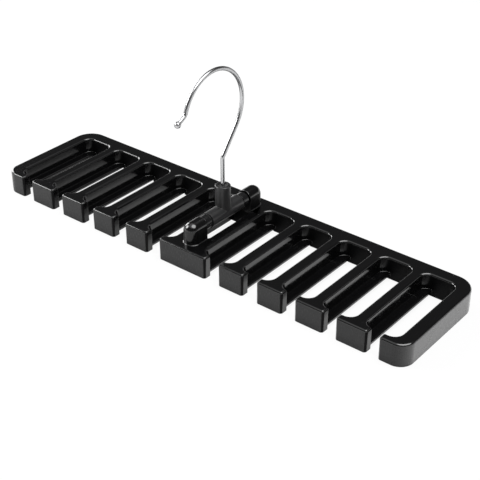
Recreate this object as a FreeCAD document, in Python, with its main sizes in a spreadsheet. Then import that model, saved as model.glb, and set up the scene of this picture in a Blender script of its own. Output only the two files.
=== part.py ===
import FreeCAD, Part
import Sketcher
import math
import os

# A tie hanger: a comb-shaped bar with ten slots for ties, and a wire hook on a tee that folds and swivels.
# The bar lies along X with its slots open to -Y, Z is up, and the origin is under the middle of the bar.
SIZES = {
    # Comb bar: outline and the slots between its fingers
    "bar_length": 300.0,
    "bar_depth": 75.6,
    "bar_height": 14.0,
    "block_width": 35.0,
    "slot_width": 9.7,
    "slot_pitch": 27.2,
    "spine_depth": 9.1,
    # Comb bar: the ledge beside each slot and the heads at the fingers' front ends
    "ledge_height": 4.5,
    "ledge_width": 5.55,
    "head_depth": 5.2,
    "mouth_step": 0.6,
    # Comb bar: roundings
    "back_corner_radius": 12.5,
    "front_corner_radius": 8.5,
    "pocket_corner_radius": 5.0,
    "head_corner_chamfer": 1.1,
    "top_edge_chamfer": 0.8,
    "ledge_edge_chamfer": 0.5,
    # Comb bar: hollow underside, cross ribs under the posts, and the window in the centre block's top
    "wall": 2.0,
    "rib_gap": 46.0,
    "window_width": 10.6,
    "window_corner_radius": 2.2,
    # Hinge: posts on the bar, and the axle that turns in them
    "axis_rise": 7.5,
    "post_radius": 5.1,
    "post_length": 7.6,
    "post_gap": 40.0,
    "axle_diameter": 6.0,
    "socket_depth": 5.0,
    # Tee: barrel round the axle with a grooved neck at each end, and tube round the hook's stem
    "barrel_diameter": 9.7,
    "barrel_length": 28.0,
    "neck_diameter": 8.6,
    "neck_gap": 0.8,
    "groove_diameter": 7.4,
    "groove_width": 0.9,
    "tube_diameter": 9.35,
    "tube_rise": 17.7,
    "tube_rim_chamfer": 0.4,
    "bush_diameter": 5.8,
    "bush_length": 5.0,
    "bush_recess": 0.8,
    # Hook: wire, its headed end and its bends
    "wire_diameter": 2.4,
    "stem_head_diameter": 4.4,
    "stem_head_height": 1.6,
    "stem_rise": 34.2,
    "kink_radius": 4.0,
    "hook_radius": 24.6,
    "hook_reach": 7.0,
    "hook_centre_rise": 66.7,
    "tip_rise": 8.4,
    "tip_radius": 5.0,
    "tip_length": 5.2,
    "tip_drop": 2.4,
    "bead_diameter": 3.8,
    "bead_length": 3.6,
    "bead_chamfer": 0.65,
    # Clearances, the length by which cuts pass the surface they open, and how near counts as the same place
    "running_clearance": 0.05,
    "end_play": 0.2,
    "head_clearance": 0.2,
    "overrun": 2.0,
    "same_place": 0.0001,
}


class Size:
    """A dimension held as a number and as the sheet formula that drives it."""

    def __init__(self, number, formula):
        self.number = number
        self.formula = formula

    def __add__(self, other):
        return Size(self.number + other.number, f"({self.formula} + {other.formula})")

    def __sub__(self, other):
        return Size(self.number - other.number, f"({self.formula} - {other.formula})")

    def __mul__(self, factor):
        return Size(self.number * factor, f"({self.formula} * {factor})")

    def __truediv__(self, divisor):
        return Size(self.number / divisor, f"({self.formula} / {divisor})")

    def __neg__(self):
        return Size(-self.number, f"(-{self.formula})")


def fill_sheet(doc):
    """Put every driving dimension in a cell of its own, under its name."""
    sheet = doc.addObject("Spreadsheet::Sheet", "sizes")
    for row, (name, number) in enumerate(SIZES.items(), start=1):
        sheet.set(f"A{row}", name)
        sheet.set(f"B{row}", str(number))
        sheet.setAlias(f"B{row}", name)
    doc.recompute()
    return sheet


doc = FreeCAD.newDocument("tie_hanger")
sheet = fill_sheet(doc)
ZERO = Size(0, "0")


def size(name):
    """The driving dimension of that name."""
    return Size(float(getattr(sheet, name)), f"{sheet.Name}.{name}")


def new_body(label):
    """An empty body whose label names the piece."""
    body = doc.addObject("PartDesign::Body", label)
    body.Label = label
    return body


def origin_item(body, role):
    """One of the body's own planes or axes."""
    return [item for item in body.Origin.OriginFeatures if item.Role == role][0]


def new_sketch(body, name, plane, along=ZERO, rise=ZERO):
    """A sketch on one of the body's planes, shifted along its first axis and off the plane."""
    sketch = body.newObject("Sketcher::SketchObject", name)
    sketch.AttachmentSupport = (origin_item(body, plane), [""])
    sketch.MapMode = "FlatFace"
    sketch.setExpression("AttachmentOffset.Base.x", along.formula)
    sketch.setExpression("AttachmentOffset.Base.z", rise.formula)
    return sketch


def drive(sketch, kind, *places, to):
    """Add a dimension to a sketch and tie it to the sheet."""
    index = sketch.addConstraint(Sketcher.Constraint(kind, *places, to.number))
    sketch.setExpression(f"Constraints[{index}]", to.formula)


def point(along, up):
    """A point of a sketch."""
    return FreeCAD.Vector(along.number, up.number, 0)


def add_rectangle(sketch, left, right, low, high):
    """A rectangle with its four sides at given places, beside what the sketch already holds."""
    corners = [point(left, low), point(right, low), point(right, high), point(left, high)]
    sides = [sketch.addGeometry(Part.LineSegment(start, end))
             for start, end in zip(corners, corners[1:] + corners[:1])]
    for turn, side in enumerate(sides):
        sketch.addConstraint(Sketcher.Constraint("Coincident", side, 2, sides[(turn + 1) % 4], 1))
        sketch.addConstraint(Sketcher.Constraint("Vertical" if turn % 2 else "Horizontal", side))
    drive(sketch, "DistanceX", -1, 1, sides[0], 1, to=left)
    drive(sketch, "DistanceX", -1, 1, sides[2], 1, to=right)
    drive(sketch, "DistanceY", -1, 1, sides[0], 1, to=low)
    drive(sketch, "DistanceY", -1, 1, sides[2], 1, to=high)


def add_rounded_rectangle(sketch, left, right, low, high, low_radius, high_radius):
    """A rectangle with one radius at its two lower corners and another at its two upper ones."""
    low_side = [left + low_radius, right - low_radius]
    high_side = [left + high_radius, right - high_radius]
    lines = [
        (point(low_side[0], low), point(low_side[1], low)),
        (point(right, low + low_radius), point(right, high - high_radius)),
        (point(high_side[1], high), point(high_side[0], high)),
        (point(left, high - high_radius), point(left, low + low_radius)),
    ]
    centres = [
        point(low_side[1], low + low_radius),
        point(high_side[1], high - high_radius),
        point(high_side[0], high - high_radius),
        point(low_side[0], low + low_radius),
    ]
    radii = [low_radius, high_radius, high_radius, low_radius]
    for start, end in lines:
        sketch.addGeometry(Part.LineSegment(start, end))
    for side in range(4):
        circle = Part.Circle(centres[side], FreeCAD.Vector(0, 0, 1), radii[side].number)
        start_angle = (side - 1) * math.pi / 2
        arc = sketch.addGeometry(Part.ArcOfCircle(circle, start_angle, start_angle + math.pi / 2))
        sketch.addConstraint(Sketcher.Constraint("Tangent", side, 2, arc, 1))
        sketch.addConstraint(Sketcher.Constraint("Tangent", arc, 2, (side + 1) % 4, 1))
        sketch.addConstraint(Sketcher.Constraint("Vertical" if side % 2 else "Horizontal", side))
    drive(sketch, "Radius", 4, to=low_radius)
    drive(sketch, "Radius", 5, to=high_radius)
    drive(sketch, "Radius", 6, to=high_radius)
    drive(sketch, "Radius", 7, to=low_radius)
    drive(sketch, "DistanceX", -1, 1, 3, 1, to=left)
    drive(sketch, "DistanceX", -1, 1, 1, 1, to=right)
    drive(sketch, "DistanceY", -1, 1, 0, 1, to=low)
    drive(sketch, "DistanceY", -1, 1, 2, 1, to=high)


def add_circle(sketch, diameter, up=ZERO):
    """A circle on the sketch's upright axis."""
    circle = Part.Circle(point(ZERO, up), FreeCAD.Vector(0, 0, 1), diameter.number / 2)
    sketch.addGeometry(circle)
    sketch.addConstraint(Sketcher.Constraint("PointOnObject", 0, 3, -2))
    drive(sketch, "DistanceY", -1, 1, 0, 3, to=up)
    drive(sketch, "Diameter", 0, to=diameter)


def add_pad(body, sketch, length, reverse=False, both=False):
    """Raise a sketch into a solid."""
    pad = body.newObject("PartDesign::Pad", sketch.Name + "_pad")
    pad.Profile = sketch
    pad.setExpression("Length", length.formula)
    pad.Reversed = reverse
    pad.Midplane = both
    doc.recompute()
    return pad


def add_pocket(body, sketch, depth, both=False):
    """Cut a sketch into the solid, and make sure that it cuts something."""
    before = body.Tip.Shape.Volume
    pocket = body.newObject("PartDesign::Pocket", sketch.Name + "_cut")
    pocket.Profile = sketch
    pocket.setExpression("Length", depth.formula)
    pocket.Midplane = both
    doc.recompute()
    if pocket.Shape.Volume >= before:
        raise ValueError(f"{pocket.Name} cuts nothing")
    return pocket


def soften(body, kind, name, amount, chosen):
    """Round or chamfer the edges of the body that a test picks out."""
    base = body.Tip
    names = [f"Edge{index}" for index, edge in enumerate(base.Shape.Edges, start=1) if chosen(edge)]
    feature = body.newObject(f"PartDesign::{kind}", name)
    feature.Base = (base, names)
    feature.setExpression("Radius" if kind == "Fillet" else "Size", amount.formula)
    doc.recompute()
    return feature


def near(number, target):
    """Whether two places are the same."""
    return math.isclose(number, target, abs_tol=size("same_place").number)


def is_upright(edge):
    """Whether an edge is straight and vertical."""
    box = edge.BoundBox
    return near(box.XLength, 0) and near(box.YLength, 0)


def is_round(edge):
    """Whether an edge is a circle or part of one."""
    return isinstance(edge.Curve, Part.Circle)


def lies_at(edge, height):
    """Whether an edge lies level at a height."""
    box = edge.BoundBox
    return near(box.ZMin, height) and near(box.ZMax, height)


def add_block(body, inset):
    """The bar's plain block with rounded corners in plan, or the same block a wall smaller."""
    half_length = size("bar_length") / 2 - inset
    half_depth = size("bar_depth") / 2 - inset
    outline = new_sketch(body, body.Name + "_outline", "XY_Plane")
    add_rounded_rectangle(outline, -half_length, half_length, -half_depth, half_depth,
                          size("front_corner_radius") - inset, size("back_corner_radius") - inset)
    add_pad(body, outline, size("bar_height") - inset)


def add_slots(body, inset, rounded):
    """The slots, each with its wide shallow pocket, repeated outwards and mirrored to the other half."""
    half_depth = size("bar_depth") / 2
    middle = size("block_width") / 2 + size("slot_width") / 2
    half_slot = size("slot_width") / 2 + inset
    half_pocket = half_slot + size("ledge_width")
    slot_end = half_depth - size("spine_depth") + inset
    top = size("bar_height") - inset
    pocket = new_sketch(body, body.Name + "_pocket", "XY_Plane", rise=top)
    pocket_start = size("head_depth") - half_depth - inset
    pocket_box = (middle - half_pocket, middle + half_pocket, pocket_start, slot_end)
    if rounded:
        add_rounded_rectangle(pocket, *pocket_box, size("ledge_width"), size("pocket_corner_radius"))
    else:
        add_rectangle(pocket, *pocket_box)
    pocket_cut = add_pocket(body, pocket, size("bar_height") - size("ledge_height"))
    slot = new_sketch(body, body.Name + "_slot", "XY_Plane", rise=top)
    add_rectangle(slot, middle - half_slot, middle + half_slot, -half_depth - size("overrun"), slot_end)
    slot_cut = add_pocket(body, slot, size("bar_height") + size("overrun"))
    repeat_slots(body, [pocket_cut, slot_cut])


def free_ledges(core):
    """The hollow under the ledges, open to the slots, so that each ledge is a plate with a free edge."""
    half_depth = size("bar_depth") / 2
    near_side = size("block_width") / 2 - size("wall")
    far_side = size("block_width") / 2 + size("slot_width") + size("wall")
    under = new_sketch(core, "under_ledges", "XY_Plane")
    add_rectangle(under, near_side, far_side, size("head_depth") - half_depth, half_depth - size("spine_depth"))
    repeat_slots(core, [add_pad(core, under, size("ledge_height") - size("wall"))])


def slots_per_side():
    """How many slots each half of the bar has, as many as leave its end head room for the rounded corner."""
    end = size("bar_length") / 2 - size("front_corner_radius")
    room = end - size("block_width") / 2 - size("slot_width")
    count = math.floor(room.number / size("slot_pitch").number) + 1
    return Size(count, f"(floor({room.formula} / {size('slot_pitch').formula}) + 1)")


def repeat_slots(body, features):
    """Repeat features of the first slot along the bar, then on the other half of it."""
    slots = body.newObject("PartDesign::MultiTransform", body.Name + "_slots")
    row = body.newObject("PartDesign::LinearPattern", body.Name + "_slot_row")
    row.Direction = (origin_item(body, "X_Axis"), [""])
    row.setExpression("Occurrences", slots_per_side().formula)
    row.setExpression("Length", f"({slots_per_side().formula} - 1) * {size('slot_pitch').formula}")
    other = body.newObject("PartDesign::Mirrored", body.Name + "_other_half")
    other.MirrorPlane = (origin_item(body, "YZ_Plane"), [""])
    slots.Originals = features
    slots.Transformations = [row, other]
    body.Tip = slots
    doc.recompute()


def narrow_mouths(bar):
    """The heads' inner sides, which narrow the mouths of each half's outer slots more and more."""
    half_depth = size("bar_depth") / 2
    first = size("block_width") / 2 + size("slot_width")
    lips = new_sketch(bar, "lips", "XY_Plane")
    for turn in range(2, slots_per_side().number):
        wall = first + size("slot_pitch") * turn
        add_rectangle(lips, wall - size("mouth_step") * turn, wall + size("wall"),
                      -half_depth, size("head_depth") - half_depth)
    mirror(bar, "other_lips", "YZ_Plane", [add_pad(bar, lips, size("bar_height"))])


def mirror(body, name, plane, features):
    """Repeat features of a body on the other side of one of its planes."""
    other = body.newObject("PartDesign::Mirrored", name)
    other.MirrorPlane = (origin_item(body, plane), [""])
    other.Originals = features
    body.Tip = other
    doc.recompute()


def soften_ledges(bar):
    """Chamfer the ledges' edges along the slots."""
    ledge = size("ledge_height").number
    walls = slot_walls()
    soften(bar, "Chamfer", "ledge_edges", size("ledge_edge_chamfer"),
           lambda edge: lies_at(edge, ledge) and near(edge.BoundBox.XLength, 0)
           and any(near(abs(edge.BoundBox.XMin), wall) for wall in walls))


def soften_heads(bar):
    """Chamfer the heads' front corners and the upper edges."""
    front = -size("bar_depth").number / 2
    top = size("bar_height").number
    soften(bar, "Chamfer", "head_corners", size("head_corner_chamfer"),
           lambda edge: is_upright(edge) and near(edge.BoundBox.YMin, front))
    soften(bar, "Chamfer", "top_edges", size("top_edge_chamfer"), lambda edge: lies_at(edge, top))


def slot_walls():
    """How far from the bar's middle the walls of the slots stand."""
    first = size("block_width").number / 2
    starts = [first + turn * size("slot_pitch").number for turn in range(slots_per_side().number)]
    return starts + [start + size("slot_width").number for start in starts]


def add_window(bar):
    """The window in the centre block's top, between the posts."""
    half_width = size("window_width") / 2
    half_gap = size("post_gap") / 2
    window = new_sketch(bar, "window", "XY_Plane", rise=size("bar_height"))
    add_rounded_rectangle(window, -half_width, half_width, -half_gap, half_gap,
                          size("window_corner_radius"), size("window_corner_radius"))
    add_pocket(bar, window, size("wall") + size("overrun"))


def make_core():
    """What is hollow under the bar: the bar's own form a wall smaller, parted by the cross ribs."""
    core = new_body("bar_core")
    add_block(core, size("wall"))
    add_slots(core, size("wall"), rounded=False)
    free_ledges(core)
    half_block = size("block_width") / 2
    rib_start = size("rib_gap") / 2
    rib = new_sketch(core, "rib", "XY_Plane", rise=size("bar_height"))
    add_rectangle(rib, -half_block, half_block, -rib_start - size("wall"), -rib_start)
    rib_cut = add_pocket(core, rib, size("bar_height") + size("overrun"))
    mirror(core, "back_rib", "XZ_Plane", [rib_cut])
    return core


def add_posts(bar):
    """The two domed posts: an arch with a half-round nose, mirrored from the front to the back."""
    foot = size("bar_height")
    axis = axis_height()
    radius = size("post_radius")
    arch = new_sketch(bar, "arch", "XZ_Plane", rise=size("post_gap") / 2)
    add_arch(arch, radius, foot, axis)
    arch_pad = add_pad(bar, arch, size("post_length"))
    nose = new_sketch(bar, "nose", "YZ_Plane", along=-(size("post_gap") / 2) - size("post_length"))
    add_half_arch(nose, radius, foot, axis)
    turned = bar.newObject("PartDesign::Revolution", "nose_turned")
    turned.Profile = nose
    turned.ReferenceAxis = (nose, ["V_Axis"])
    turned.Angle = 360
    doc.recompute()
    mirror(bar, "back_post", "XZ_Plane", [arch_pad, turned])
    socket = new_sketch(bar, "socket", "XZ_Plane")
    add_circle(socket, size("axle_diameter") + size("running_clearance") * 2, up=axis)
    add_pocket(bar, socket, size("post_gap") + size("socket_depth") * 2, both=True)


def add_arch(sketch, radius, foot, axis):
    """An upright profile with straight sides and a half-round top."""
    sketch.addGeometry(Part.LineSegment(point(-radius, foot), point(radius, foot)))
    sketch.addGeometry(Part.LineSegment(point(radius, foot), point(radius, axis)))
    top = Part.Circle(point(ZERO, axis), FreeCAD.Vector(0, 0, 1), radius.number)
    sketch.addGeometry(Part.ArcOfCircle(top, 0, math.pi))
    sketch.addGeometry(Part.LineSegment(point(-radius, axis), point(-radius, foot)))
    sketch.addConstraint(Sketcher.Constraint("Coincident", 0, 2, 1, 1))
    sketch.addConstraint(Sketcher.Constraint("Tangent", 1, 2, 2, 1))
    sketch.addConstraint(Sketcher.Constraint("Tangent", 2, 2, 3, 1))
    sketch.addConstraint(Sketcher.Constraint("Coincident", 3, 2, 0, 1))
    sketch.addConstraint(Sketcher.Constraint("Horizontal", 0))
    sketch.addConstraint(Sketcher.Constraint("Vertical", 1))
    sketch.addConstraint(Sketcher.Constraint("PointOnObject", 2, 3, -2))
    drive(sketch, "Radius", 2, to=radius)
    drive(sketch, "DistanceY", -1, 1, 0, 1, to=foot)
    drive(sketch, "DistanceY", -1, 1, 2, 3, to=axis)


def add_half_arch(sketch, radius, foot, axis):
    """Half of the same profile, from its middle line outwards."""
    sketch.addGeometry(Part.LineSegment(point(ZERO, foot), point(radius, foot)))
    sketch.addGeometry(Part.LineSegment(point(radius, foot), point(radius, axis)))
    top = Part.Circle(point(ZERO, axis), FreeCAD.Vector(0, 0, 1), radius.number)
    sketch.addGeometry(Part.ArcOfCircle(top, 0, math.pi / 2))
    sketch.addGeometry(Part.LineSegment(point(ZERO, axis + radius), point(ZERO, foot)))
    sketch.addConstraint(Sketcher.Constraint("Coincident", 0, 2, 1, 1))
    sketch.addConstraint(Sketcher.Constraint("Tangent", 1, 2, 2, 1))
    sketch.addConstraint(Sketcher.Constraint("Coincident", 2, 2, 3, 1))
    sketch.addConstraint(Sketcher.Constraint("Coincident", 3, 2, 0, 1))
    sketch.addConstraint(Sketcher.Constraint("Horizontal", 0))
    sketch.addConstraint(Sketcher.Constraint("Vertical", 1))
    sketch.addConstraint(Sketcher.Constraint("PointOnObject", 0, 1, -2))
    sketch.addConstraint(Sketcher.Constraint("PointOnObject", 2, 2, -2))
    sketch.addConstraint(Sketcher.Constraint("PointOnObject", 2, 3, -2))
    drive(sketch, "Radius", 2, to=radius)
    drive(sketch, "DistanceY", -1, 1, 0, 1, to=foot)
    drive(sketch, "DistanceY", -1, 1, 2, 3, to=axis)


def axis_height():
    """Height of the hinge's axis."""
    return size("bar_height") + size("axis_rise")


def tube_top():
    """Height of the tube's rim."""
    return axis_height() + size("tube_rise")


def bush_top():
    """Height of the bush's upper face, a little below the rim."""
    return tube_top() - size("bush_recess")


def chamber_floor():
    """Height of the seat on which the hook's headed end stands, under the bush."""
    return bush_top() - size("bush_length") - size("end_play") - size("stem_head_height")


def make_bar():
    """The comb bar with its hinge posts, hollow underneath."""
    outside = new_body("bar_outside")
    add_block(outside, ZERO)
    add_slots(outside, ZERO, rounded=True)
    soften_ledges(outside)
    narrow_mouths(outside)
    soften_heads(outside)
    add_window(outside)
    add_posts(outside)
    bar = doc.addObject("Part::Cut", "comb_bar")
    bar.Label = "comb_bar"
    bar.Base = outside
    bar.Tool = make_core()
    doc.recompute()
    return bar


def make_axle():
    """The pin that is fixed in the barrel and turns in the posts."""
    axle = new_body("hinge_axle")
    section = new_sketch(axle, "axle_section", "XZ_Plane")
    add_circle(section, size("axle_diameter"), up=axis_height())
    add_pad(axle, section, size("post_gap") + (size("socket_depth") - size("end_play")) * 2, both=True)
    return axle


def make_tee():
    """Barrel and tube, bored for the axle, the bush and the hook's headed end."""
    tee = new_body("tee")
    barrel = new_sketch(tee, "barrel", "XZ_Plane")
    add_circle(barrel, size("barrel_diameter"), up=axis_height())
    add_pad(tee, barrel, size("barrel_length"), both=True)
    add_necks(tee)
    tube = new_sketch(tee, "tube", "XY_Plane", rise=axis_height())
    add_circle(tube, size("tube_diameter"))
    add_pad(tee, tube, size("tube_rise"))
    soften(tee, "Chamfer", "tube_rim", size("tube_rim_chamfer"),
           lambda edge: lies_at(edge, tube_top().number))
    bore = new_sketch(tee, "axle_bore", "XZ_Plane")
    add_circle(bore, size("axle_diameter"), up=axis_height())
    add_pocket(tee, bore, size("post_gap"), both=True)
    seat = new_sketch(tee, "bush_bore", "XY_Plane", rise=tube_top())
    add_circle(seat, size("bush_diameter"))
    add_pocket(tee, seat, size("bush_recess") + size("bush_length"))
    chamber = new_sketch(tee, "chamber", "XY_Plane", rise=tube_top())
    add_circle(chamber, size("stem_head_diameter") + size("head_clearance") * 2)
    add_pocket(tee, chamber, tube_top() - chamber_floor())
    return tee


def add_necks(tee):
    """The thinner ends of the barrel, each with a groove before it, which reach almost to the posts."""
    reach = size("post_gap") / 2 - size("neck_gap")
    neck_start = size("barrel_length") / 2 + size("groove_width")
    groove = new_sketch(tee, "groove", "XZ_Plane")
    add_circle(groove, size("groove_diameter"), up=axis_height())
    add_pad(tee, groove, reach * 2, both=True)
    neck = new_sketch(tee, "neck", "XZ_Plane", rise=neck_start)
    add_circle(neck, size("neck_diameter"), up=axis_height())
    neck_pad = add_pad(tee, neck, reach - neck_start)
    mirror(tee, "back_neck", "XZ_Plane", [neck_pad])


def make_bush():
    """The ring in the tube's top that lets the wire turn and keeps its head in."""
    bush = new_body("stem_bush")
    ring = new_sketch(bush, "ring", "XY_Plane", rise=bush_top())
    add_circle(ring, size("bush_diameter"))
    add_pad(bush, ring, size("bush_length"), reverse=True)
    bore = new_sketch(bush, "wire_bore", "XY_Plane", rise=bush_top())
    add_circle(bore, size("wire_diameter") + size("running_clearance") * 2)
    add_pocket(bush, bore, size("bush_length") + size("overrun"))
    return bush


def add_hook_path(hook):
    """The wire's middle line: stem, kink, leaning arm, large round bend, and the flared tip."""
    path = new_sketch(hook, "path", "YZ_Plane")
    floor = chamber_floor()
    bend = axis_height() + size("stem_rise")
    centre = axis_height() + size("hook_centre_rise")
    kink = size("kink_radius")
    large = size("hook_radius")
    small = size("tip_radius")
    kink_centre = point(kink, bend)
    hook_centre = point(-size("hook_reach"), centre)
    between = hook_centre - kink_centre
    reach = kink.number + large.number
    run = math.sqrt(between.Length ** 2 - reach ** 2)
    lean = math.atan2(between.y, between.x) - math.atan2(reach, run)
    side = lean + math.pi / 2
    tip = math.pi - math.asin(size("tip_rise").number / large.number)
    drop = math.asin(size("tip_drop").number / size("tip_length").number)
    tip_centre = hook_centre + ray(tip) * (large.number + small.number)
    arm_start = kink_centre + ray(side) * kink.number
    arm_end = hook_centre - ray(side) * large.number
    tip_start = tip_centre + ray(drop - math.pi / 2) * small.number
    tip_end = tip_start + ray(math.pi + drop) * size("tip_length").number
    up = FreeCAD.Vector(0, 0, 1)
    path.addGeometry(Part.LineSegment(point(ZERO, floor), point(ZERO, bend)))
    path.addGeometry(Part.ArcOfCircle(Part.Circle(kink_centre, up, kink.number), side, math.pi))
    path.addGeometry(Part.LineSegment(arm_start, arm_end))
    path.addGeometry(Part.ArcOfCircle(Part.Circle(hook_centre, up, large.number), side - math.pi, tip))
    path.addGeometry(Part.ArcOfCircle(Part.Circle(tip_centre, up, small.number),
                                      drop - math.pi / 2, tip - math.pi))
    path.addGeometry(Part.LineSegment(tip_start, tip_end))
    path.addConstraint(Sketcher.Constraint("PointOnObject", 0, 1, -2))
    path.addConstraint(Sketcher.Constraint("Vertical", 0))
    path.addConstraint(Sketcher.Constraint("Tangent", 0, 2, 1, 2))
    path.addConstraint(Sketcher.Constraint("Tangent", 1, 1, 2, 1))
    path.addConstraint(Sketcher.Constraint("Tangent", 2, 2, 3, 1))
    path.addConstraint(Sketcher.Constraint("Tangent", 3, 2, 4, 2))
    path.addConstraint(Sketcher.Constraint("Tangent", 4, 1, 5, 1))
    drive(path, "DistanceY", -1, 1, 0, 1, to=floor)
    drive(path, "DistanceY", -1, 1, 0, 2, to=bend)
    drive(path, "Radius", 1, to=kink)
    drive(path, "DistanceX", -1, 1, 3, 3, to=-size("hook_reach"))
    drive(path, "DistanceY", -1, 1, 3, 3, to=centre)
    drive(path, "Radius", 3, to=large)
    drive(path, "DistanceY", 3, 3, 3, 2, to=size("tip_rise"))
    drive(path, "Radius", 4, to=small)
    drive(path, "DistanceY", 5, 2, 5, 1, to=size("tip_drop"))
    drive(path, "Distance", 5, to=size("tip_length"))
    doc.recompute()
    return path


def ray(angle):
    """A unit step in a sketch at an angle from its first axis."""
    return FreeCAD.Vector(math.cos(angle), math.sin(angle), 0)


def make_hook():
    """The bent wire with its head in the tube and the bead on its tip."""
    hook = new_body("hook")
    path = add_hook_path(hook)
    section = new_sketch(hook, "wire_section", "XY_Plane", rise=chamber_floor())
    add_circle(section, size("wire_diameter"))
    wire = hook.newObject("PartDesign::AdditivePipe", "wire")
    wire.Profile = section
    wire.Spine = (path, [])
    doc.recompute()
    head = new_sketch(hook, "stem_head", "XY_Plane", rise=chamber_floor())
    add_circle(head, size("stem_head_diameter"))
    add_pad(hook, head, size("stem_head_height"))
    add_bead(hook, path)
    return hook


def add_bead(hook, path):
    """The bead that blunts the wire's tip, in line with the tip."""
    tip_start = path.Placement.multVec(path.getPoint(5, 1))
    tip_end = path.Placement.multVec(path.getPoint(5, 2))
    along = (tip_end - tip_start).normalize()
    radius = size("bead_diameter") / 2
    half_length = size("bead_length") / 2
    bead = hook.newObject("PartDesign::AdditiveCylinder", "bead")
    bead.setExpression("Radius", radius.formula)
    bead.setExpression("Height", size("bead_length").formula)
    bead.Placement = FreeCAD.Placement(tip_end - along * half_length.number,
                                       FreeCAD.Rotation(FreeCAD.Vector(0, 0, 1), along))
    doc.recompute()
    soften(hook, "Chamfer", "bead_rims", size("bead_chamfer"),
           lambda edge: is_round(edge) and near(edge.Curve.Radius, radius.number))


def check(pieces):
    """Stop if any step failed or any piece is not one sound solid."""
    doc.recompute()
    for item in doc.Objects:
        if "Invalid" in item.State or "Error" in item.State:
            raise ValueError(f"{item.Name} failed: {item.State}")
    for piece in pieces:
        if piece.Shape.isNull() or not piece.Shape.isValid() or len(piece.Shape.Solids) != 1:
            raise ValueError(f"{piece.Label} is not one sound solid")


pieces = [make_bar(), make_axle(), make_tee(), make_bush(), make_hook()]
check(pieces)
os.makedirs("parts", exist_ok=True)
for piece in pieces:
    piece.Shape.exportStep(f"parts/{piece.Label}.step")
    print(piece.Label, piece.Shape.BoundBox, round(piece.Shape.Volume))
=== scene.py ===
import math

import bmesh
import bpy
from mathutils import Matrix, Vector


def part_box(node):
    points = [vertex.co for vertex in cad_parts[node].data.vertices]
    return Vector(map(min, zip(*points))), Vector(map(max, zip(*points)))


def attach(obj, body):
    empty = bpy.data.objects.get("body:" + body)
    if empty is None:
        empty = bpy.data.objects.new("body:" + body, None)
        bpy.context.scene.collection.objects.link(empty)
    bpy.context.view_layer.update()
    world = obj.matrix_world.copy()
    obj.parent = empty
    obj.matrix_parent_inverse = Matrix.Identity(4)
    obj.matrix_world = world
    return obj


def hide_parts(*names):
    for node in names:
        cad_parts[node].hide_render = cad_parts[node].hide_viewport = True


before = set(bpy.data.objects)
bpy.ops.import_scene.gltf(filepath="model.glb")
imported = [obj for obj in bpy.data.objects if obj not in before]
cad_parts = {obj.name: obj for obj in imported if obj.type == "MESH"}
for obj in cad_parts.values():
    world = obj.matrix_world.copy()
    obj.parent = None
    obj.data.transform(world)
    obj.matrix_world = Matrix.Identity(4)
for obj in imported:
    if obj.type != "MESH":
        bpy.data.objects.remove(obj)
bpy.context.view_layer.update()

MM = 0.001

# The comb bar is one gloss black moulding, hollow underneath, with ten open slots for the ties and
# two domed posts for the hinge. Its faces are almost a mirror, with a faint ripple and a few rubs.
# The outer walls are a fine satin. Painted shade darkens the reflection in places: a rough, weakly
# reflecting black is mixed in on the outer wall and the far walls the more they face the front, on
# the posts' sides, on the heads' right corners, and on the slots' right-facing walls towards the left end.
half_length, half_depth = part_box("comb_bar")[1].xy
front_corner = 8.5 * MM
back_corner = 12.5 * MM
outline_slack = 0.15 * MM
upper_edges_low = 13 * MM
upper_edges_high = 14.5 * MM
heads_front = -36.5 * MM
shortest_corner = 5 * MM
rib_end = 17.5 * MM
rib_end_slack = 0.5 * MM
rib_near = 22.5 * MM
rib_far = 25.5 * MM
rib_depth = 2.5 * MM
rib_slant = 2.2
bar_top_round = 0.54 * MM
bar_small_round = 0.3 * MM
round_steps = 3
round_profile = 0.5
flats_weight = 60
sharp_bend = math.radians(34)
flat_bend = math.radians(0.5)
same_place = 0.002 * MM

# A face is upright where its normal hardly rises, and a side where its normal points along the bar.
upright_rise = 0.3
side_turn = 0.9
corner_turn = 0.4
# Shares of painted shade, which weakens and blurs the reflection where it should look dark.
outline_painted_shade = 0.72
post_painted_shade = 0.6
leftward_painted_shade = 0.6

bar_black = (0.0022, 0.0022, 0.0024, 1)
bar_black_worn = (0.0060, 0.0060, 0.0064, 1)
bar_black_satin = (0.009, 0.009, 0.0093, 1)
plain_detail = 1.0
fine_detail = 3.0
ripple_grain = 260
pore_grain = 3200
cloud_grain = 34
rub_grain = 420
rub_stretch = (5, 0.25, 1)
rub_start = 0.60
rub_full = 0.74
rub_wear = 0.35
cloud_wear = 0.3
satin_least = 0.7
satin_pores = 0.3
gloss_rough = 0.07
cloud_rough = 0.05
rub_rough = 0.06
pore_rough = 0.03
satin_rough = 0.15
satin_coat = 0.7
satin_coat_rough = 0.2
gloss_index = 1.75
gloss_pore_relief = 0.05
satin_pore_relief = 2.0
gloss_relief = 0.02 * MM
gloss_relief_strength = 0.5
# The painted shade's surface: rough, with a weak reflection.
painted_shade_rough = 0.45
painted_shade_shine = 0.08


class Reading:
    """A socket among a finish's nodes. Sums and products of readings add the nodes that work them out."""

    def __init__(self, nodes, socket):
        self.nodes = nodes
        self.socket = socket

    def __add__(self, other):
        return self.nodes.math("ADD", self, other)

    def __sub__(self, other):
        return self.nodes.math("SUBTRACT", self, other)

    def __rsub__(self, other):
        return self.nodes.math("SUBTRACT", other, self)

    def __mul__(self, other):
        return self.nodes.math("MULTIPLY", self, other)

    __radd__ = __add__


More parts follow.
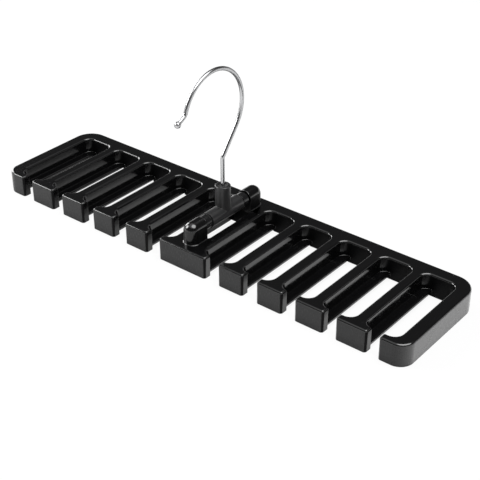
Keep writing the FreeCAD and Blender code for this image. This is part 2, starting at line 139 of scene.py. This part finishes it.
class Nodes:
    """The nodes of one finish or one shape."""

    def __init__(self, tree):
        self.tree = tree

    def node(self, kind, settings=None, sockets=None, output=0):
        """Add a node, its settings first, then the values and links of its sockets."""
        made = self.tree.nodes.new(kind)
        for setting, value in (settings or {}).items():
            if setting == "stops":
                self.grade(made.color_ramp.elements, value)
            else:
                setattr(made, setting, value)
        for socket, value in (sockets or {}).items():
            self.feed(made.inputs[socket], value)
        return Reading(self, made.outputs[output])

    def grade(self, elements, stops):
        """Give a ramp its greys, each at its place."""
        elements.remove(elements[1])
        for turn, (place, grey) in enumerate(stops):
            element = elements.new(place) if turn else elements[0]
            element.position = place
            element.color = (grey, grey, grey, 1)

    def feed(self, socket, value):
        """Link a reading to a socket, or set the socket to a plain value."""
        if isinstance(value, Reading):
            self.tree.links.new(value.socket, socket)
        else:
            socket.default_value = value

    def math(self, operation, first, second=0):
        """A sum, a product or the like."""
        return self.node("ShaderNodeMath", {"operation": operation}, {0: first, 1: second})


class Finish(Nodes):
    """A material, read from the piece's own coordinates."""

    def __init__(self, name):
        self.material = bpy.data.materials.new(name)
        self.material.use_nodes = True
        super().__init__(self.material.node_tree)
        self.surface = self.tree.nodes["Principled BSDF"]
        self.place = self.node("ShaderNodeTexCoord", output="Object")

    def grain(self, scale, detail=2.0, stretch=(1, 1, 1)):
        """Noise from 0 to 1 over the piece, in grains of one part in scale of a metre."""
        place = self.node("ShaderNodeMapping", sockets={"Vector": self.place, "Scale": stretch})
        return self.node("ShaderNodeTexNoise", sockets={"Vector": place, "Scale": scale, "Detail": detail},
                         output="Fac")

    def marked(self, name):
        """The share that each face was given under a name."""
        return self.node("ShaderNodeAttribute", {"attribute_name": name}, output="Fac")

    def step(self, value, low, high):
        """0 up to a low value and 1 from a high one, with a smooth rise between them."""
        return self.node("ShaderNodeMapRange", {"interpolation_type": "SMOOTHSTEP"},
                         {"Value": value, "From Min": low, "From Max": high})

    def mix(self, factor, first, second):
        """One colour going over into another."""
        return self.node("ShaderNodeMix", {"data_type": "RGBA"},
                         {"Factor": factor, 6: first, 7: second}, output=2)

    def set(self, **values):
        """Set or link the surface's own sockets."""
        for name, value in values.items():
            self.feed(self.surface.inputs[name.replace("_", " ")], value)

    def bump(self, height, distance, strength):
        """Raise the surface by a height."""
        self.set(Normal=self.node("ShaderNodeBump", sockets={
            "Height": height, "Distance": distance, "Strength": strength}))

    def give_way(self, factor, other):
        """Let another surface take over where a factor says so."""
        this = Reading(self, self.surface.outputs["BSDF"])
        both = self.node("ShaderNodeMixShader", sockets={0: factor, 1: this, 2: other})
        self.feed(self.tree.nodes["Material Output"].inputs["Surface"], both)

    def cover(self, piece):
        """Make this a piece's only material."""
        piece.data.materials.clear()
        piece.data.materials.append(self.material)


def add_object(name, data):
    """A new object in the scene."""
    made = bpy.data.objects.new(name, data)
    bpy.context.collection.objects.link(made)
    return made


def smooth(mesh):
    """Shade every face of a mesh as part of a smooth surface."""
    for face in mesh.polygons:
        face.use_smooth = True


def anywhere(edge):
    """Every edge that is still sharp."""
    return True


def moulding(node, name, *rounds):
    """A copy of a solid with its flat faces whole again and its edges rounded, some more than others."""
    solid = bmesh.new()
    solid.from_mesh(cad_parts[node].data)
    bmesh.ops.remove_doubles(solid, verts=solid.verts, dist=same_place)
    bmesh.ops.dissolve_limit(solid, angle_limit=flat_bend, verts=solid.verts, edges=solid.edges)
    for edge_round, chosen in rounds:
        sharp = [edge for edge in solid.edges
                 if edge.is_manifold and edge.calc_face_angle() > sharp_bend and chosen(edge)]
        bmesh.ops.bevel(solid, geom=sharp, offset=edge_round, offset_type="OFFSET", segments=round_steps,
                        profile=round_profile, affect="EDGES", clamp_overlap=False)
        bmesh.ops.remove_doubles(solid, verts=solid.verts, dist=same_place)
    mesh = bpy.data.meshes.new(name)
    solid.to_mesh(mesh)
    solid.free()
    if "custom_normal" in mesh.attributes:
        mesh.attributes.remove(mesh.attributes["custom_normal"])
    smooth(mesh)
    piece = add_object(name, mesh)
    flats = piece.modifiers.new("flats", "WEIGHTED_NORMAL")
    flats.weight = flats_weight
    return piece


def in_reach_of_hands(edge):
    """The bar's upper edges and the heads' front corners, which are the rounder ones."""
    ends = [vert.co for vert in edge.verts]
    upper = all(upper_edges_low < end.z < upper_edges_high for end in ends)
    corner = all(end.y < heads_front for end in ends) and abs(ends[0].z - ends[1].z) > shortest_corner
    return upper or corner


def slant_ribs(piece):
    """Lead the ends of the cross ribs back under the ledges, where the slots don't show them."""
    for vert in piece.data.vertices:
        x, y, z = vert.co
        at_end = abs(abs(x) - rib_end) < rib_end_slack and rib_near < abs(y) < rib_far
        if at_end and z < rib_depth:
            vert.co.x = x - math.copysign((rib_depth - z) * rib_slant, x)


def is_upright(face):
    """Whether a face stands upright, or nearly."""
    return abs(face.normal.z) < upright_rise


def on_outline(face):
    """Whether a face is part of the bar's outer wall, which follows its outline in plan."""
    corner = back_corner if face.center.y > 0 else front_corner
    past_x = max(abs(face.center.x) - (half_length - corner), 0)
    past_y = max(abs(face.center.y) - (half_depth - corner), 0)
    return is_upright(face) and math.hypot(past_x, past_y) > corner - outline_slack


def painted_shade_share(face):
    """How much painted shade a face gets, from 0 to 1: a weaker, duller reflection. The outer wall and the
    inner walls get more the more they face the front.
    """
    facing_front = max(-face.normal.y, 0)
    if not is_upright(face):
        return 0.0
    if on_outline(face):
        return outline_painted_shade * facing_front
    if face.center.z > upper_edges_high:
        return 1.0 if abs(face.normal.x) > side_turn else post_painted_shade
    if face.center.y < heads_front:
        return 1.0 if face.normal.x > corner_turn else 0.0
    if face.normal.x > side_turn:
        return leftward_painted_shade * max(-face.center.x / half_length, 0)
    return facing_front if face.center.y > 0 else 0.0


def mark(piece, name, chosen):
    """Give each face of a piece a share from 0 to 1, under a name that its finish reads."""
    marks = piece.data.attributes.new(name, "FLOAT", "FACE")
    marks.data.foreach_set("value", [float(chosen(face)) for face in piece.data.polygons])


comb_bar = moulding("comb_bar", "comb_bar_moulding",
                    (bar_top_round, in_reach_of_hands), (bar_small_round, anywhere))
slant_ribs(comb_bar)
mark(comb_bar, "outer_wall", on_outline)
# Mark each face's share of painted shade.
mark(comb_bar, "painted_shade_face", painted_shade_share)

gloss_black = Finish("gloss_black_plastic")
outer_wall = gloss_black.marked("outer_wall")
ripple = gloss_black.grain(ripple_grain, plain_detail)
pores = gloss_black.grain(pore_grain, fine_detail)
clouds = gloss_black.grain(cloud_grain)
rubs = gloss_black.step(gloss_black.grain(rub_grain, plain_detail, rub_stretch), rub_start, rub_full)
handled_black = gloss_black.mix(rubs * rub_wear + clouds * cloud_wear, bar_black, bar_black_worn)
satin_share = outer_wall * (satin_least + pores * satin_pores)
moulded_rough = gloss_rough + clouds * cloud_rough + rubs * rub_rough + pores * pore_rough
gloss_black.set(
    Base_Color=gloss_black.mix(satin_share, handled_black, bar_black_satin),
    Roughness=moulded_rough + outer_wall * satin_rough,
    Coat_Weight=outer_wall * satin_coat,
    Coat_Roughness=satin_coat_rough,
    IOR=gloss_index,
)
pore_relief = pores * (gloss_pore_relief + outer_wall * satin_pore_relief)
gloss_black.bump(ripple + pore_relief, gloss_relief, gloss_relief_strength)
# Painted shade: a rough black with a weak reflection takes over on the marked faces.
painted_shade_black = gloss_black.node("ShaderNodeBsdfPrincipled", sockets={
    "Base Color": handled_black, "Roughness": painted_shade_rough, "Specular IOR Level": painted_shade_shine})
gloss_black.give_way(gloss_black.marked("painted_shade_face"), painted_shade_black)
gloss_black.cover(comb_bar)
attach(comb_bar, "bar")
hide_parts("comb_bar")

# The hinge axle is a plain pin of polished black plastic. It is pressed through the tee's barrel,
# and its two ends turn in the posts, where short collars of it stay in sight.
pin_round = 0.25 * MM
pin_black_dark = (0.014, 0.014, 0.015, 1)
pin_black_light = (0.024, 0.024, 0.025, 1)
pin_ring_grain = 900
pin_ring_stretch = (0.2, 6, 0.2)
pin_rough = 0.24
pin_ring_rough = 0.12
plastic_index = 1.5
pin_relief = 0.01 * MM
soft_relief_strength = 0.4

axle = moulding("hinge_axle", "hinge_axle_pin", (pin_round, anywhere))
pin_black = Finish("pin_black_plastic")
pin_rings = pin_black.grain(pin_ring_grain, stretch=pin_ring_stretch)
pin_black.set(
    Base_Color=pin_black.mix(pin_rings, pin_black_dark, pin_black_light),
    Roughness=pin_rough + pin_rings * pin_ring_rough,
    IOR=plastic_index,
)
pin_black.bump(pin_rings, pin_relief, soft_relief_strength)
pin_black.cover(axle)
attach(axle, "tee")
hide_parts("hinge_axle")

# The tee is a satin dark grey moulding: a barrel that lies on the hinge's line and a tube that
# stands on it and holds the hook. The mould is spark finished, so the face is fine and dull, but
# the barrel's grooved necks are smooth. The grooves are painted near black, a painted shade for
# the recess, and made rough.
tee_round = 0.2 * MM
neck_start = 13.9 * MM
neck_full = 14.1 * MM
groove_end_start = 14.8 * MM
groove_end_full = 15.0 * MM
barrel_grey_dark = (0.015, 0.015, 0.0155, 1)
barrel_grey_light = (0.024, 0.024, 0.0245, 1)
neck_grey = (0.010, 0.010, 0.0105, 1)
groove_painted_shade = (0.001, 0.001, 0.001, 1)
spark_grain = 5200
shade_grain = 120
tee_rough = 0.24
spark_rough = 0.12
neck_polish = 0.16
groove_rough = 0.4
neck_relief_loss = 0.9
spark_relief = 0.04 * MM
spark_relief_strength = 0.5

tee = moulding("tee", "tee_moulding", (tee_round, anywhere))
satin_grey = Finish("satin_grey_plastic")
spark = satin_grey.grain(spark_grain, fine_detail)
shade = satin_grey.grain(shade_grain)
along_barrel = satin_grey.node("ShaderNodeSeparateXYZ", sockets={0: satin_grey.place}, output="Y")
from_middle = satin_grey.math("ABSOLUTE", along_barrel)
neck = satin_grey.step(from_middle, neck_start, neck_full)
# Each neck's groove band, painted near black as the shade in the recess.
groove = neck - satin_grey.step(from_middle, groove_end_start, groove_end_full)
barrel_grey = satin_grey.mix(shade, barrel_grey_dark, barrel_grey_light)
satin_grey.set(
    Base_Color=satin_grey.mix(neck, barrel_grey, satin_grey.mix(groove, neck_grey, groove_painted_shade)),
    Roughness=tee_rough + spark * spark_rough - neck * neck_polish + groove * groove_rough,
    IOR=plastic_index,
)
satin_grey.bump(spark * (1.0 - neck * neck_relief_loss), spark_relief, spark_relief_strength)
satin_grey.cover(tee)
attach(tee, "tee")
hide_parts("tee")

# The stem bush is a short plastic ring pressed into the tube's mouth. It keeps the headed end of
# the wire in and lets it turn.
bush_round = 0.15 * MM
ring_grey_dark = (0.05, 0.05, 0.05, 1)
ring_grey_light = (0.09, 0.09, 0.09, 1)
ring_grain = 1500
ring_rough = 0.32
ring_shade_rough = 0.12
ring_relief = 0.01 * MM

bush = moulding("stem_bush", "stem_bush_ring", (bush_round, anywhere))
ring_grey = Finish("ring_grey_plastic")
ring_shade = ring_grey.grain(ring_grain)
ring_grey.set(
    Base_Color=ring_grey.mix(ring_shade, ring_grey_dark, ring_grey_light),
    Roughness=ring_rough + ring_shade * ring_shade_rough,
    IOR=plastic_index,
)
ring_grey.bump(ring_shade, ring_relief, soft_relief_strength)
ring_grey.cover(bush)
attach(bush, "tee")
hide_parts("stem_bush")

# The hook is one length of bright chromed steel wire: a straight stem with an upset head inside
# the tube, a small kink, a leaning arm, a round bend for the rail, and a tip with a bead on it.
wire_radius = 1.2 * MM
bead_radius = 1.9 * MM
head_radius = 2.2 * MM
head_height = 1.6 * MM
kink_radius = 4 * MM
hook_radius = 24.6 * MM
tip_radius = 5 * MM
tip_length = 5.2 * MM
tip_rise = 8.4 * MM
tip_drop = 2.4 * MM
stem_foot = Vector((0, 0, 31.6 * MM))
kink_centre = Vector((0, kink_radius, 55.7 * MM))
hook_centre = Vector((0, -7 * MM, 88.2 * MM))
bend_step = math.radians(3)
least_steps = 6
wire_sides = 40
bead_rings = 24
wire_crease = math.radians(40)
chrome_hazy = (0.45, 0.455, 0.465, 1)
chrome_clear = (0.56, 0.56, 0.565, 1)
haze_grain = 700
speck_grain = 5200
speck_start = 0.68
speck_full = 0.8
chrome_rough = 0.20
haze_rough = 0.08
speck_rough = 0.1
chrome_relief = 0.004 * MM
chrome_relief_strength = 0.3

chrome = Finish("bright_chrome")
haze = chrome.grain(haze_grain, fine_detail)
specks = chrome.step(chrome.grain(speck_grain, plain_detail), speck_start, speck_full)
chrome.set(
    Base_Color=chrome.mix(haze, chrome_hazy, chrome_clear),
    Metallic=1.0,
    Specular_Tint=(0, 0, 0, 1),
    Roughness=chrome_rough + haze * haze_rough + specks * speck_rough,
)
chrome.bump(haze, chrome_relief, chrome_relief_strength)


def across(angle):
    """A step of one metre in the hook's own plane, at an angle from the bar's depth."""
    return Vector((0, math.cos(angle), math.sin(angle)))


def bend(centre, radius, start, end):
    """Points along a round bend of the wire."""
    steps = max(least_steps, round(abs(end - start) / bend_step))
    return [centre + across(start + (end - start) * step / steps) * radius for step in range(steps + 1)]


between = hook_centre - kink_centre
reach = kink_radius + hook_radius
run = math.sqrt(between.length_squared - reach ** 2)
arm_side = math.atan2(between.z, between.y) - math.atan2(reach, run) + math.pi / 2
tip_angle = math.pi - math.asin(tip_rise / hook_radius)
tip_fall = math.asin(tip_drop / tip_length)
tip_centre = hook_centre + across(tip_angle) * (hook_radius + tip_radius)
route = [stem_foot]
route += bend(kink_centre, kink_radius, math.pi, arm_side)
route += bend(hook_centre, hook_radius, arm_side - math.pi, tip_angle)
route += bend(tip_centre, tip_radius, tip_angle - math.pi, tip_fall - math.pi / 2)[1:]
route.append(route[-1] + across(math.pi + tip_fall) * tip_length)


class Shape(Nodes):
    """A tree of shape nodes with named inputs, for one piece."""

    def __init__(self, name):
        super().__init__(bpy.data.node_groups.new(name, "GeometryNodeTree"))
        self.values = {}
        self.tree.interface.new_socket("Geometry", in_out="INPUT", socket_type="NodeSocketGeometry")
        self.tree.interface.new_socket("Geometry", in_out="OUTPUT", socket_type="NodeSocketGeometry")
        self.source = self.tree.nodes.new("NodeGroupInput")
        self.result = self.tree.nodes.new("NodeGroupOutput")

    def given(self, name, kind, value):
        """A named input with its value."""
        socket = self.tree.interface.new_socket(name, in_out="INPUT", socket_type=kind)
        self.values[socket.identifier] = value
        return Reading(self, self.source.outputs[name])

    def start(self):
        """The mesh that the tree is run on."""
        return Reading(self, self.source.outputs["Geometry"])

    def join(self, *parts):
        """Several parts in one."""
        joined = self.node("GeometryNodeJoinGeometry")
        for part in parts:
            self.tree.links.new(part.socket, joined.socket.node.inputs[0])
        return joined

    def finish(self, shape, material):
        """End the tree in plain mesh with its material."""
        plain = self.node("GeometryNodeRealizeInstances", sockets={"Geometry": shape})
        painted = self.node("GeometryNodeSetMaterial", sockets={"Geometry": plain, "Material": material})
        self.feed(self.result.inputs[0], painted)

    def make(self, name, mesh):
        """Run the tree on a mesh and return the piece that comes out."""
        blank = add_object(name + "_route", mesh)
        shaper = blank.modifiers.new("shape", "NODES")
        shaper.node_group = self.tree
        for identifier, value in self.values.items():
            shaper[identifier] = value
        shaped = blank.evaluated_get(bpy.context.evaluated_depsgraph_get())
        made = bpy.data.meshes.new_from_object(shaped)
        made.name = name
        bpy.data.objects.remove(blank)
        return add_object(name, made)


bent_wire = Shape("bent_wire")
sides = bent_wire.given("Sides", "NodeSocketInt", wire_sides)
radius = bent_wire.given("Wire radius", "NodeSocketFloat", wire_radius)
bead_size = bent_wire.given("Bead radius", "NodeSocketFloat", bead_radius)
head_size = bent_wire.given("Head radius", "NodeSocketFloat", head_radius)
head_rise = bent_wire.given("Head height", "NodeSocketFloat", head_height)
plating = bent_wire.given("Plating", "NodeSocketMaterial", chrome.material)
line = bent_wire.node("GeometryNodeMeshToCurve", sockets={"Mesh": bent_wire.start()})
ring = bent_wire.node("GeometryNodeCurvePrimitiveCircle", sockets={"Resolution": sides, "Radius": radius})
wire = bent_wire.node("GeometryNodeCurveToMesh",
                      sockets={"Curve": line, "Profile Curve": ring, "Fill Caps": True})
tip_end = bent_wire.node("GeometryNodeCurveEndpointSelection", sockets={"Start Size": 0, "End Size": 1})
bead = bent_wire.node("GeometryNodeMeshUVSphere",
                      sockets={"Segments": sides, "Rings": bead_rings, "Radius": bead_size})
beads = bent_wire.node("GeometryNodeInstanceOnPoints",
                       sockets={"Points": line, "Selection": tip_end, "Instance": bead})
foot_end = bent_wire.node("GeometryNodeCurveEndpointSelection", sockets={"Start Size": 1, "End Size": 0})
head = bent_wire.node("GeometryNodeMeshCylinder",
                      sockets={"Vertices": sides, "Radius": head_size, "Depth": head_rise})
lift = bent_wire.node("ShaderNodeCombineXYZ", sockets={"Z": head_rise * 0.5})
seated = bent_wire.node("GeometryNodeTransform", sockets={"Geometry": head, "Translation": lift})
heads = bent_wire.node("GeometryNodeInstanceOnPoints",
                       sockets={"Points": line, "Selection": foot_end, "Instance": seated})
bent_wire.finish(bent_wire.join(wire, beads, heads), plating)

route_mesh = bpy.data.meshes.new("hook_route")
route_mesh.from_pydata(route, [(step, step + 1) for step in range(len(route) - 1)], [])
hook = bent_wire.make("hook_wire", route_mesh)
smooth(hook.data)
hook.data.set_sharp_from_angle(angle=wire_crease)
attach(hook, "hook")
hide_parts("hook")

# The studio has a plain white floor that fills the view, a pale ceiling and dim walls. Three round
# lamps stand to the left, low on the left, and overhead to the right.
floor_radius = 9
floor_sides = 96
floor_white = (0.86, 0.86, 0.86, 1)
floor_rough = 0.9
floor_glow = (1, 1, 1, 1)
mirrored_share = 0.2
glow_share = 0.9
sky_levels = ((0.06, 1.0), (0.20, 0.06), (0.72, 0.06), (0.90, 0.75))
camera_place = Vector((0.3636, -0.4336, 0.3527))
camera_target = Vector((0.00631, 0.00805, 0))

floor_mesh = bpy.data.meshes.new("studio_floor")
floor_shape = bmesh.new()
bmesh.ops.create_circle(floor_shape, cap_ends=True, segments=floor_sides, radius=floor_radius)
floor_shape.to_mesh(floor_mesh)
floor_shape.free()
floor = add_object("studio_floor", floor_mesh)
white_floor = Finish("white_floor")
white_floor.set(Base_Color=floor_white, Roughness=floor_rough, Specular_IOR_Level=0.0)
by_camera = white_floor.node("ShaderNodeLightPath", output="Is Camera Ray")
by_gloss = white_floor.node("ShaderNodeLightPath", output="Is Glossy Ray")
by_glass = white_floor.node("ShaderNodeLightPath", output="Is Transmission Ray")
shown = white_floor.math("MAXIMUM", by_camera, (by_gloss + by_glass) * mirrored_share)
glow = white_floor.node("ShaderNodeEmission", sockets={"Color": floor_glow, "Strength": 1.0})
white_floor.give_way(shown * glow_share, glow)
white_floor.cover(floor)

world = bpy.data.worlds.new("studio")
bpy.context.scene.world = world
world.use_nodes = True
sky = Nodes(world.node_tree)
direction = sky.node("ShaderNodeTexCoord", output="Generated")
height = sky.node("ShaderNodeSeparateXYZ", sockets={0: direction}, output="Z")
level = sky.node("ShaderNodeValToRGB", {"stops": sky_levels}, {"Fac": height})
sky.feed(world.node_tree.nodes["Background"].inputs["Color"], level)


def turned(place, target):
    """The turn that makes a lamp or a camera at a place look at a target."""
    return (target - place).to_track_quat("-Z", "Y").to_euler()


def round_lamp(name, place, width, power):
    """A round lamp that faces the bar."""
    lamp = bpy.data.lights.new(name, "AREA")
    lamp.shape = "DISK"
    lamp.size = width
    lamp.energy = power
    holder = add_object(name, lamp)
    holder.location = place
    holder.rotation_euler = turned(Vector(place), Vector())


round_lamp("left_lamp", place=(-0.80, -0.46, 0.57), width=0.6, power=8)
round_lamp("low_left_lamp", place=(-1.00, 0.22, 0.33), width=0.56, power=5)
round_lamp("overhead_lamp", place=(0.40, 0.06, 1.08), width=1.05, power=12)

camera_data = bpy.data.cameras.new("camera")
camera_data.sensor_width = 36
camera_data.lens = 83.5
camera_data.clip_start = 0.01
camera_data.clip_end = 60
camera = add_object("camera", camera_data)
camera.location = camera_place
camera.rotation_euler = turned(camera_place, camera_target)
bpy.context.scene.camera = camera
bpy.context.scene.view_settings.view_transform = "Standard"
